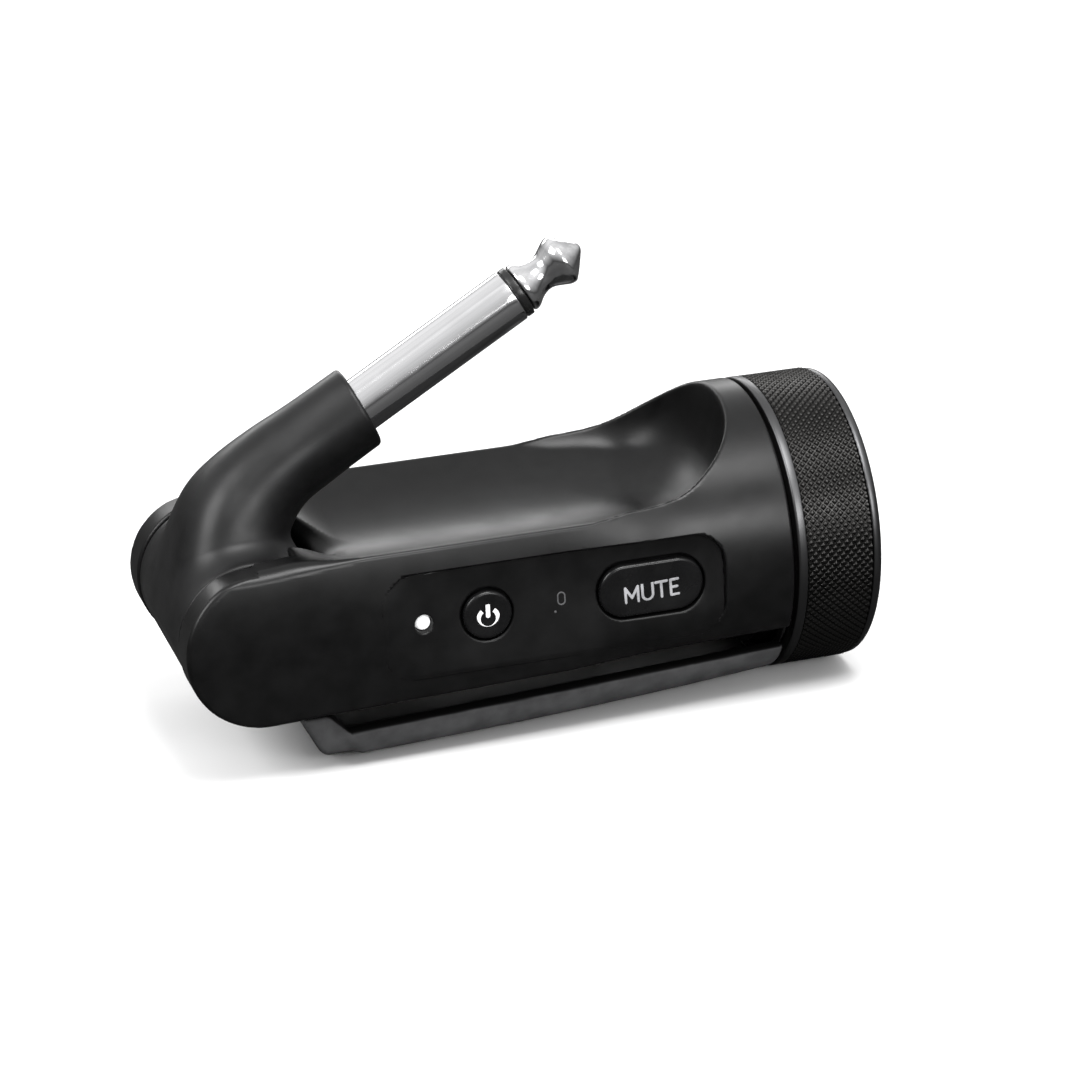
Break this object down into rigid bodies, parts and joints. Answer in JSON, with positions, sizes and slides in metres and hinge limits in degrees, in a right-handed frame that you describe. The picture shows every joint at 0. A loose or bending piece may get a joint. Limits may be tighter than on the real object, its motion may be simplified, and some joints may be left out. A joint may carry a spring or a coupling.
{
  "type": "wireless guitar transmitter",
  "caption": "Pocket wireless guitar transmitter: rounded body with a folding quarter-inch plug arm, knurled screw cap, strap clip, power and mute buttons.",
  "frame": {"origin": "centre of the bottom of the bounding box, below the middle of the body's length", "axes": "+X along the body from the plug arm's hinge to the screw cap, -Y out of the face with the buttons, +Z from the strap clip up to the channel that holds the folded plug"},
  "size_m": [0.082, 0.0348, 0.0552],
  "materials": {
    "body_black": "satin black moulding",
    "arm_rubber": "soft-touch black",
    "panel_black": "matt black",
    "button_black": "satin black with white marks",
    "grip_metal": "black anodised, diamond knurled",
    "rim_metal": "dark anodised, polished",
    "clip_grey": "satin dark grey",
    "chrome": "bright nickel plate",
    "steel": "plain",
    "brass": "plain",
    "insulator_black": "black",
    "led_white": "white light window",
    "lens_smoke": "smoked window",
    "board_green": "solder-masked circuit board",
    "switch_grey": "plain",
    "ceramic_white": "plain",
    "seal_rubber": "plain",
    "cell_wrap": "shrink-wrapped metal can"
  },
  "bodies": {
    "body": {"housing": "body_black", "control_panel": "panel_black", "status_led": "led_white", "link_indicator": "lens_smoke", "main_board": "board_green", "power_switch": "switch_grey", "mute_switch": "switch_grey", "status_chip": "ceramic_white", "link_chip": "ceramic_white", "radio_shield": "steel", "audio_chip": "insulator_black", "antenna": "ceramic_white", "battery_cell": "cell_wrap", "battery_terminal": "steel", "bay_contact": "steel", "bay_spring": "steel", "cap_seal": "seal_rubber", "hinge_pin": "steel", "clip_root": "clip_grey"},
    "arm": {"plug_arm": "arm_rubber", "plug_sleeve": "chrome", "plug_insulator": "insulator_black", "plug_tip": "chrome", "friction_ring_near": "steel", "friction_ring_far": "steel"},
    "power_key": {"power_button": "button_black"},
    "mute_key": {"mute_button": "button_black"},
    "cap_carrier": {"cap_contact": "brass"},
    "cap": {"cap_grip": "grip_metal", "cap_end": "rim_metal"},
    "clip": {"clip_blade": "clip_grey"}
  },
  "joints": [
    {"name": "arm_fold", "type": "hinge", "parent": "body", "child": "arm", "pos_m": [-0.032, 0, 0.01665], "axis": [0, -1, 0], "range_deg": [-30, 150]},
    {"name": "power_press", "type": "slide", "parent": "body", "child": "power_key", "axis": [0, 1, 0], "range_m": [0, 0.0004], "stiffness_N_per_m": 400},
    {"name": "mute_press", "type": "slide", "parent": "body", "child": "mute_key", "axis": [0, 1, 0], "range_m": [0, 0.0004], "stiffness_N_per_m": 400},
    {"name": "cap_travel", "type": "slide", "parent": "body", "child": "cap_carrier", "axis": [1, 0, 0], "range_m": [0, 0.006]},
    {"name": "cap_turn", "type": "hinge", "parent": "cap_carrier", "child": "cap", "pos_m": [0.0305, 0, 0.0174], "axis": [1, 0, 0], "range_deg": [0, 1440]},
    {"name": "clip_flex", "type": "hinge", "parent": "body", "child": "clip", "pos_m": [-0.0208, 0, 0.00065], "axis": [0, 1, 0], "range_deg": [0, 5], "stiffness_Nm_per_rad": 1.2}
  ],
  "couplings": [
    {"joint": "cap_turn", "follows": "cap_travel", "rad_per_m": 4188.8}
  ]
}
